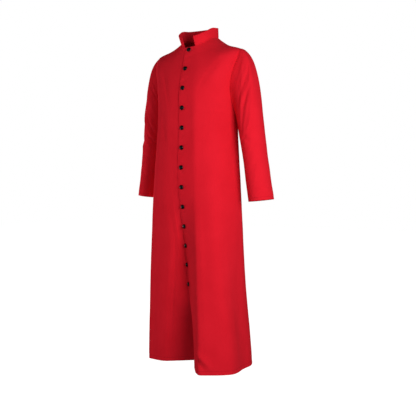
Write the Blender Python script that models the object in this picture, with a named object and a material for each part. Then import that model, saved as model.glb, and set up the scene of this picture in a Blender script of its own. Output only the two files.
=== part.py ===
"""Cassock, single-breasted, worn shape, hollow.

Run with: blender --background --python part.py   (metres, +Z up)

The wearer faces -Y and the wearer's left is +X. The origin is the middle of the
neck opening, level with the points where neck and shoulder meet, where the
garment hangs on the wearer.

The body is one surface. ROWS is its section table, a row for each height from
the hem to the neckline, and each section is a smooth curve through the corners
that the row names, from the left front's edge round the left side, the back and
the right side to the end of the right front, under the left one. The panels are
regions of that surface. ARM_ROWS gives the sleeves below the armhole.
"""
import math

import bpy
import numpy as np

# ---------------------------------------------------------------- sizes
CLOTH = 0.0015            # wall of the body and the sleeves
COLLAR_WALL = 0.0027      # two layers and a stiffener
SEAM = 0.00035            # gap between sewn pieces
LAP = 0.028               # right front's width under the left front's edge
LAP_GAP = 0.0006          # clear space between the two fronts
EDGE_TO_BUTTON = 0.015    # left front's edge to the button centres

BUTTON_COUNT = 13
BUTTON_TOP_Z = -0.057
BUTTON_PITCH = 0.0785
BUTTON_R = 0.0093
BUTTON_H = 0.0062
BUTTON_OFF = 0.0010       # a button's back stands this far off the cloth

COLLAR_FRONT_H = 0.036
COLLAR_BACK_H = 0.040
COLLAR_FLARE = 0.006      # its top is this much wider all round
COLLAR_SEAM = 0.0007      # between the neckline and the band
COLLAR_LEAN = 0.012       # the band's top stands this far in front of its base
NOTCH_CENTRE_X = 0.003
NOTCH_WIDTH = 0.052

ARM_LOW, ARM_TOP = 1.005, 1.252     # armhole, in the s column of ROWS
ARM_FRONT, ARM_BACK = 0.84, 1.32    # armhole's reach from the side seam, in t

CAP_LOW_RISE, CAP_TOP_RISE = -0.75, -0.13    # sleeve cap's first slope, underarm and top
CAP_LOW_REACH, CAP_TOP_REACH = 0.040, 0.236  # how far it holds that slope
CAP_END = 0.88                       # and how far up the arm's own slope is held

CORNER_ROUND = 0.014      # rounding of the left front's lower corner
OPEN_SKIRT_S = 0.30       # below this the two fronts hang apart

# s: way up the body; zf zs zb: level at front, side and back; ex ey: left
# front's edge; fx fy: right front's edge where it hangs free; ax ay ra: fold
# line down the left front and its radius; mx my: left side front; w wr:
# half width, left and right; sy: side line; rb: side radius; bx by rr: fold
# line down the right front; px py: right side front; nx ny, dx dy: back;
# cb: centre back
COLS = ("s zf zs zb ex ey fx fy ax ay ra mx my w sy rb bx by rr px py wr "
        "nx ny dx dy cb").split()
ROWS = (
 (0.000, -1.321, -1.330, -1.321,  0.101, -0.192,  0.000, -0.050,  0.144, -0.227, 0.020,  0.259, -0.137, 0.225,
  0.000, 0.050,  0.088, -0.124, 0.030,  0.204, -0.116, 0.192,  0.180, 0.121,  0.108, 0.184, 0.172),
 (0.160, -1.159, -1.159, -1.159,  0.056, -0.138,  0.000, -0.066,  0.121, -0.200, 0.026,  0.230, -0.126, 0.208,
  0.000, 0.048,  0.080, -0.121, 0.032,  0.201, -0.115, 0.189,  0.174, 0.112,  0.101, 0.166, 0.156),
 (0.327, -0.990, -0.990, -0.990, -0.003, -0.085, -0.003, -0.083,  0.099, -0.175, 0.022,  0.192, -0.122, 0.190,
  0.000, 0.046,  0.068, -0.118, 0.034,  0.196, -0.115, 0.185,  0.166, 0.101,  0.096, 0.149, 0.140),
 (0.491, -0.826, -0.826, -0.826, -0.007, -0.105, -0.007, -0.103,  0.087, -0.160, 0.019,  0.168, -0.118, 0.186,
  0.008, 0.034,  0.056, -0.127, 0.034,  0.190, -0.116, 0.182,  0.154, 0.094,  0.092, 0.133, 0.125),
 (0.717, -0.600, -0.600, -0.600, -0.010, -0.139, -0.010, -0.137,  0.069, -0.140, 0.017,  0.142, -0.105, 0.176,
  0.014, 0.026,  0.072, -0.140, 0.026,  0.172, -0.120, 0.170,  0.139, 0.089,  0.086, 0.117, 0.110),
 (0.877, -0.440, -0.440, -0.440, -0.009, -0.140, -0.009, -0.138,  0.067, -0.139, 0.017,  0.130, -0.098, 0.168,
  0.014, 0.024,  0.067, -0.139, 0.026,  0.158, -0.117, 0.162,  0.133, 0.087,  0.083, 0.113, 0.105),
 (1.017, -0.300, -0.300, -0.300, -0.009, -0.137, -0.009, -0.135,  0.065, -0.135, 0.019,  0.126, -0.096, 0.162,
  0.012, 0.026,  0.065, -0.135, 0.028,  0.148, -0.112, 0.158,  0.136, 0.085,  0.083, 0.112, 0.103),
 (1.130, -0.205, -0.165, -0.190, -0.009, -0.132, -0.009, -0.130,  0.064, -0.129, 0.026,  0.134, -0.097, 0.172,
  0.002, 0.040,  0.064, -0.129, 0.034,  0.152, -0.106, 0.170,  0.154, 0.084,  0.085, 0.110, 0.103),
 (1.240, -0.120, -0.059, -0.085, -0.010, -0.108, -0.010, -0.106,  0.060, -0.104, 0.034,  0.148, -0.080, 0.1935,
  0.004, 0.034,  0.060, -0.104, 0.034,  0.148, -0.080, 0.1935,  0.150, 0.076,  0.080, 0.098, 0.097),
 (1.310, -0.077, -0.0365, -0.032, -0.010, -0.0945, -0.010, -0.0925,  0.052, -0.088, 0.028,  0.108, -0.064, 0.132,
  0.004, 0.028,  0.052, -0.088, 0.028,  0.104, -0.064, 0.127,  0.110, 0.062,  0.062, 0.086, 0.088),
 (1.370, -0.045, -0.001,  0.010, -0.010, -0.0840, -0.010, -0.0820,  0.036, -0.079, 0.020,  0.064, -0.050, 0.070,
  0.002, 0.020,  0.034, -0.077, 0.018,  0.062, -0.048, 0.066,  0.064, 0.050,  0.040, 0.071, 0.075),
)

# the body's largest soft folds: s from, s to, t at the low end, t at the high
# end, half width in t, height (a minus sign is a trough)
BODY_FOLDS = (
    # s0     s1     t0     t1    half   height
    (-0.20, 0.86,   4.60,  4.90, 0.85,  0.0030),
    (-0.20, 0.62,   7.70,  7.40, 0.80,  0.0030),
    (-0.20, 0.50,   9.00,  8.90, 0.70, -0.0070),
    (-0.20, 0.70,  10.20, 10.10, 0.75,  0.0080),
    (-0.20, 0.56,  11.50, 11.40, 0.70, -0.0070),
    (-0.20, 0.66,  12.60, 12.70, 0.70,  0.0070),
    (-0.20, 0.52,  13.80, 13.70, 0.75, -0.0060),
    (-0.20, 0.84,  18.10, 18.30, 0.90,  0.0035),
    (0.62,  0.98,   5.60,  6.60, 0.80, -0.0030),
    (0.66,  1.02,   9.30,  8.20, 0.90, -0.0040),
    (0.64,  1.00,  12.80, 13.90, 0.90, -0.0035),
)

# the left arm below the armhole: level, axis x and y, half widths across and
# fore and aft; the right arm mirrors it
ARM_COLS = "z x y rx ry".split()
ARM_ROWS = (
    (-0.420, 0.2415, 0.016, 0.0485, 0.060),
    (-0.500, 0.2545, 0.018, 0.0465, 0.058),
    (-0.580, 0.2650, 0.020, 0.0475, 0.058),
    (-0.659, 0.2775, 0.021, 0.0485, 0.058),
)
ARM_TILT = 0.12           # a cuff's outer side stands higher than its inner
RIGHT_ARM_RISE = 0.011    # the right arm is held this much higher at the cuff

# creases on a sleeve: way down it at one end and at the other, angle round it
# at each (0 underarm, 90 front, 180 outer), half width in way, height
SLEEVE_FOLDS = {
    "left": (
        # u0    u1    a0    a1   half   height
        (0.08, 0.34, 120,   80, 0.040,  0.0030),
        (0.14, 0.42, 140,   70, 0.040, -0.0035),
        (0.20, 0.47, 150,   85, 0.045,  0.0035),
        (0.44, 0.56,  60,  130, 0.035, -0.0030),
        (0.12, 0.40, 230,  290, 0.045, -0.0035),
        (0.50, 0.60, 250,  310, 0.040, -0.0030),
    ),
    "right": (
        (0.26, 0.36, 150,   95, 0.030, -0.0032),
        (0.32, 0.43, 150,   95, 0.028,  0.0030),
        (0.44, 0.56, 165,   95, 0.035, -0.0035),
        (0.52, 0.61, 150,   80, 0.035,  0.0028),
        (0.14, 0.42, 230,  290, 0.045, -0.0035),
        (0.48, 0.60, 250,  310, 0.040, -0.0030),
    ),
}

# mesh counts
FRONT_COLUMNS = 13
BACK_COLUMNS = 18
LAP_COLUMNS = (21.2, 21.7, 22.0, 22.4, 23.0)
ARMHOLE_STEPS = 12
SLEEVE_AROUND = 20
SLEEVE_CAP_STEPS = 10
SLEEVE_DOWN_STEPS = 7
COLLAR_COLUMNS = 40
COLLAR_STEPS = 3
BUTTON_AROUND = 22

# colours: linear base colour, roughness, metallic
CLOTH_LOOK = ((0.560, 0.012, 0.020, 1.0), 0.52, 0.0)
BUTTON_LOOK = ((0.006, 0.006, 0.007, 1.0), 0.12, 0.0)

T_SIDE_L, T_BACK, T_SIDE_R, T_FREE, T_END = 7.0, 11.0, 15.0, 22.0, 23.0
S_TOP = ROWS[-1][0]


# ---------------------------------------------------------------- the body's surface
def second_derivatives(x, y):
    """Of the natural cubic spline through the rows."""
    n = len(x)
    a = np.zeros((n, n))
    r = np.zeros((n,) + y.shape[1:])
    a[0, 0] = a[-1, -1] = 1.0
    for i in range(1, n - 1):
        h0, h1 = x[i] - x[i - 1], x[i + 1] - x[i]
        a[i, i - 1], a[i, i], a[i, i + 1] = h0, 2 * (h0 + h1), h1
        r[i] = 6 * ((y[i + 1] - y[i]) / h1 - (y[i] - y[i - 1]) / h0)
    return np.linalg.solve(a, r)


class Table:
    """Rows of named columns, read at any value of the first column."""

    def __init__(self, cols, rows):
        self.cols = cols
        self.rows = np.array(rows, float)
        if self.rows[0, 0] > self.rows[-1, 0]:
            self.rows = self.rows[::-1]
        self.bend = second_derivatives(self.rows[:, 0], self.rows)

    def at(self, v):
        v = np.atleast_1d(np.asarray(v, float))
        x, y = self.rows[:, 0], self.rows
        i = np.clip(np.searchsorted(x, v) - 1, 0, len(x) - 2)
        h = x[i + 1] - x[i]
        a = (x[i + 1] - v) / h
        b = 1 - a
        out = (a[:, None] * y[i] + b[:, None] * y[i + 1]
               + ((a ** 3 - a)[:, None] * self.bend[i] + (b ** 3 - b)[:, None] * self.bend[i + 1])
               * (h ** 2)[:, None] / 6)
        return dict(zip(self.cols, out.T))


BODY = Table(COLS, ROWS)
ARM = Table(ARM_COLS, ARM_ROWS)


def points(x, y, z):
    return np.stack([x + 0 * z, y + 0 * z, z], axis=1)


def plan_unit(v):
    v = v * np.array([1.0, 1.0, 0.0])
    return v / np.linalg.norm(v, axis=1, keepdims=True)


def toward(p, q, d):
    """The point d from p on the way to q, in plan."""
    return p + (q - p) * (d / np.linalg.norm((q - p)[:, :2], axis=1))[:, None]


def smooth(x):
    x = np.clip(x, 0, 1)
    return x * x * (3 - 2 * x)


def corners(s):
    """The section's corners, in order, from the left front's edge."""
    c = BODY.at(s)
    zf, zs, zb = c["zf"], c["zs"], c["zb"]

    def level(k, z):
        return zs + (z - zs) * k

    flip = np.array([-1, 1, 1])
    edge = points(c["ex"], c["ey"], zf)
    fold = points(c["ax"], c["ay"], level(0.94, zf))
    side = points(c["mx"], c["my"], level(0.55, zf))
    back = points(c["nx"], c["ny"], level(0.55, zb))
    blade = points(c["dx"], c["dy"], level(0.94, zb))
    left = [edge, (edge + fold) / 2, toward(fold, edge, c["ra"]), fold, toward(fold, side, c["ra"]), side,
            points(c["w"], c["sy"] - c["rb"], level(0.10, zf)), points(c["w"], c["sy"], zs),
            points(c["w"], c["sy"] + c["rb"], level(0.10, zb)), back, blade, points(0 * s, c["cb"], zb)]
    fold_r = points(-c["bx"], c["by"], level(0.94, zf))
    side_r = points(-c["px"], c["py"], level(0.55, zf))
    along = plan_unit(fold - edge)
    inward = np.stack([-along[:, 1], along[:, 0], 0 * s], axis=1)
    under = edge + inward * (CLOTH + LAP_GAP)
    apart = smooth((OPEN_SKIRT_S + 0.02 - s) / 0.16)[:, None]
    under = under + (points(c["fx"], c["fy"], zf) - under) * apart
    way = plan_unit(along + (plan_unit(under - fold_r) - along) * apart)
    end = under + way * LAP + inward * 0.0010
    half_way = (fold_r + under) / 2
    knee = under + (2 * under - half_way - end) / 4     # so that the curve runs through `under`
    right = [blade * flip, back * flip, points(-c["wr"], c["sy"] + c["rb"], level(0.10, zb)),
             points(-c["wr"], c["sy"], zs), points(-c["wr"], c["sy"] - c["rb"], level(0.10, zf)), side_r,
             toward(fold_r, side_r, c["rr"]), fold_r, toward(fold_r, under, c["rr"]), half_way, knee, end]
    return np.stack(left + right, axis=1)


def curve_at(corner, t):
    """Uniform cubic B-spline with its ends on the first and last corner."""
    k = corner.shape[1]
    ends = [2 * corner[:, :1] - corner[:, 1:2], corner, 2 * corner[:, -1:] - corner[:, -2:-1]]
    corner = np.concatenate(ends, axis=1)
    i = np.clip(np.floor(t).astype(int), 0, k - 2)
    f = t - i
    w = np.stack([(1 - f) ** 3, 3 * f ** 3 - 6 * f ** 2 + 4, -3 * f ** 3 + 3 * f ** 2 + 3 * f + 1, f ** 3], axis=1) / 6
    row = np.arange(len(t))
    return sum(w[:, j:j + 1] * corner[row, i + j] for j in range(4))


def plain_body(s, t):
    s, t = (np.asarray(a, float).ravel() for a in (s, t))
    levels, which = np.unique(s, return_inverse=True)
    return curve_at(corners(levels)[which], t)


def surface_normal(f, s, t, s_max, t_max):
    s, t = (np.asarray(a, float).ravel() for a in (s, t))
    up = f(np.clip(s + 0.004, 0, s_max), t) - f(np.clip(s - 0.004, 0, s_max), t)
    across = f(s, np.clip(t + 0.01, 0, t_max)) - f(s, np.clip(t - 0.01, 0, t_max))
    n = np.cross(across, up)
    return n / np.linalg.norm(n, axis=1, keepdims=True)


def fold_height(s, t, folds):
    h = np.zeros(len(s))
    for s0, s1, t0, t1, half, height in folds:
        k = (s - s0) / (s1 - s0)
        inside = (k > 0) & (k < 1)
        line = t0 + (t1 - t0) * np.clip(k, 0, 1)
        along = np.where(inside, np.sin(math.pi * np.clip(k, 0, 1)) ** 0.8, 0.0)
        h += height * along * np.exp(-((t - line) / half) ** 2 * 2.2)
    return h


def body(s, t):
    s, t = (np.asarray(a, float).ravel() for a in (s, t))
    n = surface_normal(plain_body, s, t, S_TOP, T_END)
    calm = smooth((t - 1.6) / 1.4) * smooth((20.4 - t) / 1.4)
    return plain_body(s, t) + n * (fold_height(s, t, BODY_FOLDS) * calm)[:, None]


def body_normal(s, t):
    return surface_normal(body, s, t, S_TOP, T_END)


def armhole_t(s):
    """How far the armhole reaches from the side seam at s: front, back."""
    k = np.clip(1 - ((s - (ARM_LOW + ARM_TOP) / 2) / ((ARM_TOP - ARM_LOW) / 2)) ** 2, 0, 1) ** 0.5
    return ARM_FRONT * k ** 0.85, ARM_BACK * k ** 0.85


def armhole(angle):
    """s and t round the left armhole: 0 underarm, 90 degrees front, 180 top."""
    s = (ARM_LOW + ARM_TOP) / 2 - (ARM_TOP - ARM_LOW) / 2 * np.cos(angle)
    k = np.sin(angle)
    return s, T_SIDE_L - np.where(k >= 0, ARM_FRONT, ARM_BACK) * np.sign(k) * np.abs(k) ** 0.85


# ---------------------------------------------------------------- meshes
def add_object(name, verts, faces, look, round_shading=True):
    mesh = bpy.data.meshes.new(name)
    mesh.from_pydata([tuple(v) for v in verts], [], faces)
    mesh.update()
    material = bpy.data.materials.new(name + "_finish")
    material.use_nodes = True
    bsdf = material.node_tree.nodes["Principled BSDF"]
    colour, roughness, metallic = look
    bsdf.inputs["Base Color"].default_value = colour
    bsdf.inputs["Roughness"].default_value = roughness
    bsdf.inputs["Metallic"].default_value = metallic
    material.diffuse_color = colour
    mesh.materials.append(material)
    for polygon in mesh.polygons:
        polygon.use_smooth = round_shading
    obj = bpy.data.objects.new(name, mesh)
    bpy.context.scene.collection.objects.link(obj)
    return obj


def wall(name, outer, inner, look, ring=False):
    """A closed wall between two grids of points, rows by columns."""
    rows, cols = outer.shape[:2]
    verts = np.concatenate([outer.reshape(-1, 3), inner.reshape(-1, 3)])
    n = rows * cols

    def v(side, i, j):
        return side * n + i * cols + j % cols

    faces = []
    for i in range(rows - 1):
        for j in range(cols if ring else cols - 1):
            a, b, c, d = (v(0, i, j), v(0, i, j + 1), v(0, i + 1, j + 1), v(0, i + 1, j))
            faces += [(a, b, c), (a, c, d)]
            a, b, c, d = (x + n for x in (a, b, c, d))
            faces += [(a, c, b), (a, d, c)]
    for j in range(cols if ring else cols - 1):
        for i, turn in ((0, False), (rows - 1, True)):
            q = (v(0, i, j), v(1, i, j), v(1, i, j + 1), v(0, i, j + 1))
            q = q[::-1] if turn else q
            faces += [(q[0], q[1], q[2]), (q[0], q[2], q[3])]
    if not ring:
        for i in range(rows - 1):
            for j, turn in ((0, True), (cols - 1, False)):
                q = (v(0, i, j), v(1, i, j), v(1, i + 1, j), v(0, i + 1, j))
                q = q[::-1] if turn else q
                faces += [(q[0], q[1], q[2]), (q[0], q[2], q[3])]
    return add_object(name, verts, faces, look)


def body_levels():
    """Rows of the panels: even below the armhole, close at its ends."""
    below = np.concatenate([np.linspace(0, ARM_LOW - 0.04, 15), [ARM_LOW]])
    angle = np.linspace(0, math.pi, ARMHOLE_STEPS + 1)[1:]
    beside = (ARM_LOW + ARM_TOP) / 2 - (ARM_TOP - ARM_LOW) / 2 * np.cos(angle)
    above = np.linspace(ARM_TOP, S_TOP, 5)[1:]
    return np.concatenate([below, beside, above])


def t_gap(s, t):
    """Half a seam gap, in t."""
    step = 0.02
    d = np.linalg.norm(plain_body(s, np.clip(t + step, 0, T_END)) - plain_body(s, np.clip(t - step, 0, T_END)), axis=1)
    return SEAM / 2 * 2 * step / d


def panel(name, t_from, t_to, columns, lap_columns=()):
    """The body between two edges; lap_columns are the last ones, under the left front."""
    s = body_levels()
    a = t_from(s)
    b = lap_columns[0] + 0 * s if lap_columns else t_to(s)
    t = a[:, None] + (b - a)[:, None] * np.linspace(0, 1, columns + 1 - max(len(lap_columns) - 1, 0))
    t = np.concatenate([t] + [0 * s[:, None] + v for v in lap_columns[1:]], axis=1)
    s_grid = np.repeat(s[:, None], t.shape[1], axis=1)
    if name == "front_left":
        low = np.clip(1 - s[:, None] / 0.09, 0, 1)
        s_grid = s_grid + low * CORNER_ROUND * (1 - np.clip(t / 0.8, 0, 1)) ** 2
    outer = body(s_grid, t).reshape(len(s), -1, 3)
    inner = outer - body_normal(s_grid, t).reshape(len(s), -1, 3) * CLOTH
    return wall(name, outer, inner, CLOTH_LOOK)


def build_panels():
    def left_front_edge(s):
        return T_SIDE_L - armhole_t(s)[0] - t_gap(s, T_SIDE_L - armhole_t(s)[0])

    def left_back_edge(s):
        return T_SIDE_L + armhole_t(s)[1] + t_gap(s, T_SIDE_L + armhole_t(s)[1])

    def right_back_edge(s):
        return T_SIDE_R - armhole_t(s)[1] - t_gap(s, T_SIDE_R - armhole_t(s)[1])

    def right_front_edge(s):
        return T_SIDE_R + armhole_t(s)[0] + t_gap(s, T_SIDE_R + armhole_t(s)[0])

    panel("front_left", lambda s: 0 * s, left_front_edge, FRONT_COLUMNS)
    panel("back", left_back_edge, right_back_edge, BACK_COLUMNS)
    panel("front_right", right_front_edge, None, FRONT_COLUMNS, LAP_COLUMNS)


# ---------------------------------------------------------------- sleeves
def sleeve_surface(u, angle, side):
    """u 0 at the armhole to 1 at the cuff; angle as in armhole()."""
    cap = 0.5                                       # share of u above the first arm row
    top_z, low_z = ARM_ROWS[0][0], ARM_ROWS[-1][0] + (RIGHT_ARM_RISE if side == "right" else 0)
    inset = 0.0008
    shrink = 1 - inset / 0.11
    s, t = armhole(angle)
    s = (ARM_LOW + ARM_TOP) / 2 + (s - (ARM_LOW + ARM_TOP) / 2) * shrink
    t = T_SIDE_L + (t - T_SIDE_L) * (1 - inset / 0.045)
    if side == "left":
        start = plain_body(s, t)
    else:                                           # shaped on the left, then mirrored
        start = plain_body(s, T_SIDE_L + T_SIDE_R - t) * np.array([-1, 1, 1])

    def ring(z):
        c = ARM.at(z)
        x = -c["rx"] * np.cos(angle)
        y = -c["ry"] * np.sin(angle)
        return np.stack([c["x"] + x, c["y"] + y, z + x * ARM_TILT], axis=1)

    z1 = 0 * angle + top_z
    end = ring(z1)
    slope = (ring(z1 - 0.02) - ring(z1)) / 0.02
    far = np.linalg.norm(end - start, axis=1)
    lift = (1 - np.cos(angle)) / 2                  # 0 underarm, 1 top
    out = np.stack([0 * angle + 1.0, -0.08 * np.sin(angle), CAP_LOW_RISE + (CAP_TOP_RISE - CAP_LOW_RISE) * lift], axis=1)
    out = out / np.linalg.norm(out, axis=1, keepdims=True)
    k = np.clip(u / cap, 0, 1)
    h = [2 * k ** 3 - 3 * k ** 2 + 1, k ** 3 - 2 * k ** 2 + k, -2 * k ** 3 + 3 * k ** 2, k ** 3 - k ** 2]
    reach = CAP_LOW_REACH + (CAP_TOP_REACH - CAP_LOW_REACH) * lift
    cap_point = (h[0][:, None] * start + (h[1] * reach)[:, None] * out + h[2][:, None] * end
                 + (h[3] * CAP_END * far)[:, None] * slope)
    down = ring(top_z + (low_z - top_z) * np.clip((u - cap) / (1 - cap), 0, 1))
    p = np.where((u < cap)[:, None], cap_point, down)
    if side == "right":
        p = p * np.array([-1, 1, 1])
    return p


def sleeve_normal(u, angle, side, f=None):
    f = f or sleeve_surface
    a = f(np.clip(u + 0.01, 0, 1), angle, side) - f(np.clip(u - 0.01, 0, 1), angle, side)
    b = f(u, angle + 0.02, side) - f(u, angle - 0.02, side)
    n = np.cross(a, b) if side == "left" else np.cross(b, a)
    return n / np.linalg.norm(n, axis=1, keepdims=True)


def sleeve(u, angle, side):
    n = sleeve_normal(u, angle, side)
    h = np.zeros(len(u))
    for u0, u1, a0, a1, half, height in SLEEVE_FOLDS[side]:
        mid = math.radians((a0 + a1) / 2)
        reach = abs(math.radians(a1 - a0)) / 2 + 0.35
        d = (angle - mid + math.pi) % (2 * math.pi) - math.pi
        k = np.clip((d / math.radians(a1 - a0)) + 0.5, -0.3, 1.3)
        line = u0 + (u1 - u0) * k
        h += height * np.exp(-((u - line) / half) ** 2 * 1.5) * np.cos(np.clip(d / reach, -1, 1) * math.pi / 2) ** 2
    calm = smooth((u - 0.03) / 0.09) * smooth((0.98 - u) / 0.10)
    return sleeve_surface(u, angle, side) + n * (h * calm)[:, None]


def build_sleeve(side):
    u = np.concatenate([np.linspace(0, 0.5, SLEEVE_CAP_STEPS + 1), np.linspace(0.5, 1, SLEEVE_DOWN_STEPS + 1)[1:]])
    angle = np.linspace(0, 2 * math.pi, SLEEVE_AROUND, endpoint=False)
    u_grid, a_grid = (g.ravel() for g in np.meshgrid(u, angle, indexing="ij"))
    outer = sleeve(u_grid, a_grid, side)
    n = sleeve_normal(u_grid, a_grid, side, sleeve)
    inner = outer - n * CLOTH
    outer, inner = (g.reshape(len(u), -1, 3) for g in (outer, inner))
    if side == "left":
        outer, inner = outer[::-1], inner[::-1]
    wall("sleeve_" + side, outer, inner, CLOTH_LOOK, ring=True)


# ---------------------------------------------------------------- collar
def neck_t(x):
    """t on the left and right of the neckline's front where its x is x."""
    t = np.linspace(0, T_END, 2301)
    p = plain_body(0 * t + S_TOP, t)
    front = p[:, 1] < -0.02
    left = front & (t < T_SIDE_L)
    right = front & (t > T_SIDE_R) & (t < T_FREE)
    return (t[left][np.argmin(abs(p[left, 0] - x))], t[right][np.argmin(abs(p[right, 0] - x))])


def collar_surface(h, t):
    base = plain_body(0 * t + S_TOP, t)
    tangent = base - plain_body(0 * t + S_TOP - 0.004, t)
    tangent = tangent / np.linalg.norm(tangent, axis=1, keepdims=True)
    start = base + tangent * COLLAR_SEAM
    k = smooth((base[:, 1] + 0.085) / 0.16)
    height = COLLAR_FRONT_H + (COLLAR_BACK_H - COLLAR_FRONT_H) * k
    away = plan_unit(base)
    rise = np.stack([0 * t, 0 * t - COLLAR_LEAN * h, height * h], axis=1)
    return start + rise + away * COLLAR_FLARE * h


def build_collar():
    t0 = neck_t(NOTCH_CENTRE_X + NOTCH_WIDTH / 2)[0]
    t1 = neck_t(NOTCH_CENTRE_X - NOTCH_WIDTH / 2)[1]
    t = np.linspace(t0, t1, COLLAR_COLUMNS + 1)
    outer, inner = [], []
    for i in range(COLLAR_STEPS + 1):
        h = i / COLLAR_STEPS
        p = collar_surface(h, t)
        ahead = collar_surface(h, np.clip(t + 0.02, 0, T_END)) - collar_surface(h, np.clip(t - 0.02, 0, T_END))
        way = plan_unit(ahead)
        inward = np.stack([-way[:, 1], way[:, 0], 0 * t], axis=1)
        outer.append(p)
        inner.append(p + inward * COLLAR_WALL)
    wall("collar", np.array(outer), np.array(inner), CLOTH_LOOK)


# ---------------------------------------------------------------- buttons
def button_place(z):
    """Where a button sits on the left front at the level z, and which way it faces."""
    s = np.linspace(0, S_TOP, 2741)
    s = s[np.argmin(abs(BODY.at(s)["zf"] - z))]
    t = np.linspace(0, 2, 401)
    p = plain_body(0 * t + s, t)
    run = np.concatenate([[0], np.cumsum(np.linalg.norm(np.diff(p, axis=0), axis=1))])
    t = t[np.argmin(abs(run - EDGE_TO_BUTTON))]
    return body([s], [t])[0], body_normal([s], [t])[0]


def build_buttons():
    # the dome's section: share of the radius, share of the height
    profile = ((0.80, 0.0), (0.96, 0.12), (1.0, 0.30), (0.94, 0.55), (0.76, 0.80), (0.45, 0.95))
    for i in range(BUTTON_COUNT):
        centre, n = button_place(BUTTON_TOP_Z - BUTTON_PITCH * i)
        side = np.cross([0, 0, 1.0], n)
        side /= np.linalg.norm(side)
        up = np.cross(n, side)
        verts = [centre + n * BUTTON_OFF]
        for r, h in profile:
            for j in range(BUTTON_AROUND):
                a = 2 * math.pi * j / BUTTON_AROUND
                verts.append(centre + n * (BUTTON_OFF + h * BUTTON_H)
                             + (side * math.cos(a) + up * math.sin(a)) * r * BUTTON_R)
        verts.append(centre + n * (BUTTON_OFF + BUTTON_H))
        faces = []
        m = BUTTON_AROUND
        for j in range(m):
            k = (j + 1) % m
            faces.append((0, 1 + k, 1 + j))
            for r in range(len(profile) - 1):
                a, b = 1 + r * m + j, 1 + r * m + k
                faces += [(a, b, b + m), (a, b + m, a + m)]
            last = 1 + (len(profile) - 1) * m
            faces.append((last + j, last + k, len(verts) - 1))
        add_object("button_%02d" % (i + 1), verts, faces, BUTTON_LOOK)


def main():
    for obj in list(bpy.data.objects):
        bpy.data.objects.remove(obj, do_unlink=True)
    build_panels()
    for side in ("left", "right"):
        build_sleeve(side)
    build_collar()
    build_buttons()


main()
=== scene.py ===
import math
import bpy
import numpy as np
from mathutils import Vector, Matrix, noise


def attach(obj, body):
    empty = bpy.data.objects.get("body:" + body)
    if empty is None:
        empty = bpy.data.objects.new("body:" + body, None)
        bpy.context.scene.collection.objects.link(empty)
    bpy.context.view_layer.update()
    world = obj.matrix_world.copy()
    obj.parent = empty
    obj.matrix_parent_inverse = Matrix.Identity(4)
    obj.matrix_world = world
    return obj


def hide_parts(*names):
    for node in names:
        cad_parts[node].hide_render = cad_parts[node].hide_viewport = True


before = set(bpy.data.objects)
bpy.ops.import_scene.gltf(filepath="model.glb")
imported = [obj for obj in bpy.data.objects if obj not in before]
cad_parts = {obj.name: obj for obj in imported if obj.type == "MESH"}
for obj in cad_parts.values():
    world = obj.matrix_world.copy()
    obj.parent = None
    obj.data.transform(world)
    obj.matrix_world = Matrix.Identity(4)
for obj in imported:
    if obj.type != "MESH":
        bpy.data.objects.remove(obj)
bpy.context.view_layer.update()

# ---------------------------------------------------------------- sizes
CLOTH = 0.0015            # wall of the body and the sleeves
COLLAR_WALL = 0.0027      # two layers and a stiffener
SEAM = 0.00035            # gap between sewn pieces
LAP = 0.028               # right front's width under the left front's edge
LAP_GAP = 0.0006          # clear space between the two fronts
EDGE_TO_BUTTON = 0.015    # left front's edge to the button centres

BUTTON_COUNT = 13
BUTTON_TOP_Z = -0.057
BUTTON_PITCH = 0.0785
BUTTON_R = 0.0093
BUTTON_H = 0.0062
BUTTON_OFF = 0.0010       # a button's back stands this far off the cloth

COLLAR_FRONT_H = 0.036
COLLAR_BACK_H = 0.040
COLLAR_FLARE = 0.006      # its top is this much wider all round
COLLAR_SEAM = 0.0007      # between the neckline and the band
COLLAR_LEAN = 0.012       # the band's top stands this far in front of its base
NOTCH_CENTRE_X = 0.003
NOTCH_WIDTH = 0.052

ARM_LOW, ARM_TOP = 1.005, 1.252     # armhole, in the s column of ROWS
ARM_FRONT, ARM_BACK = 0.84, 1.32    # armhole's reach from the side seam, in t

CAP_LOW_RISE, CAP_TOP_RISE = -0.75, -0.13    # sleeve cap's first slope, underarm and top
CAP_LOW_REACH, CAP_TOP_REACH = 0.040, 0.236  # how far it holds that slope
CAP_END = 0.88                       # and how far up the arm's own slope is held

CORNER_ROUND = 0.014      # rounding of the left front's lower corner
OPEN_SKIRT_S = 0.30       # below this the two fronts hang apart

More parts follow.
